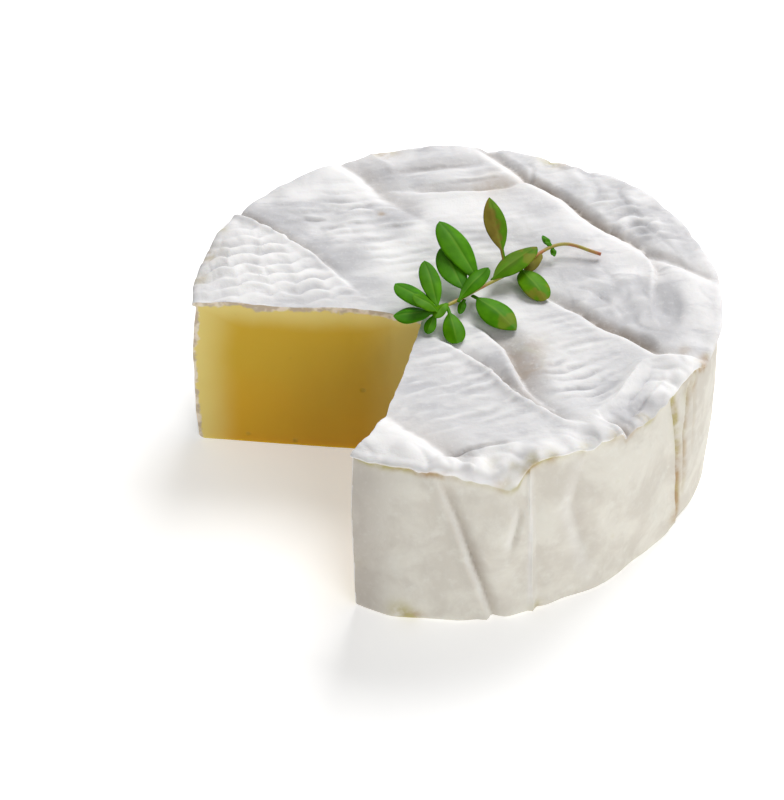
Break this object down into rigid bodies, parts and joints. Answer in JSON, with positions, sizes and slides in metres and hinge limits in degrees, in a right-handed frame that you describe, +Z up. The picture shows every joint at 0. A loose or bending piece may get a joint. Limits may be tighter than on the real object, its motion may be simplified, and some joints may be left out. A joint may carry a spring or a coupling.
{
  "type": "cut wheel of brie cheese",
  "caption": "Small round of soft white-rind cheese with a wedge cut out, its yellow paste bare on the cuts, and a thyme sprig lying on top.",
  "frame": {"origin": "on the wheel's axis, in the flat base it rests on", "axes": "+Z up along the wheel's axis; the missing wedge opens towards -X and -Y"},
  "size_m": [0.111, 0.1146, 0.0486],
  "materials": {
    "rind": "soft matt white mould rind",
    "leaf": "fresh satin leaf"
  },
  "bodies": {
    "root": {"cheese_wheel": "rind", "thyme_sprig": "leaf"}
  },
  "joints": []
}
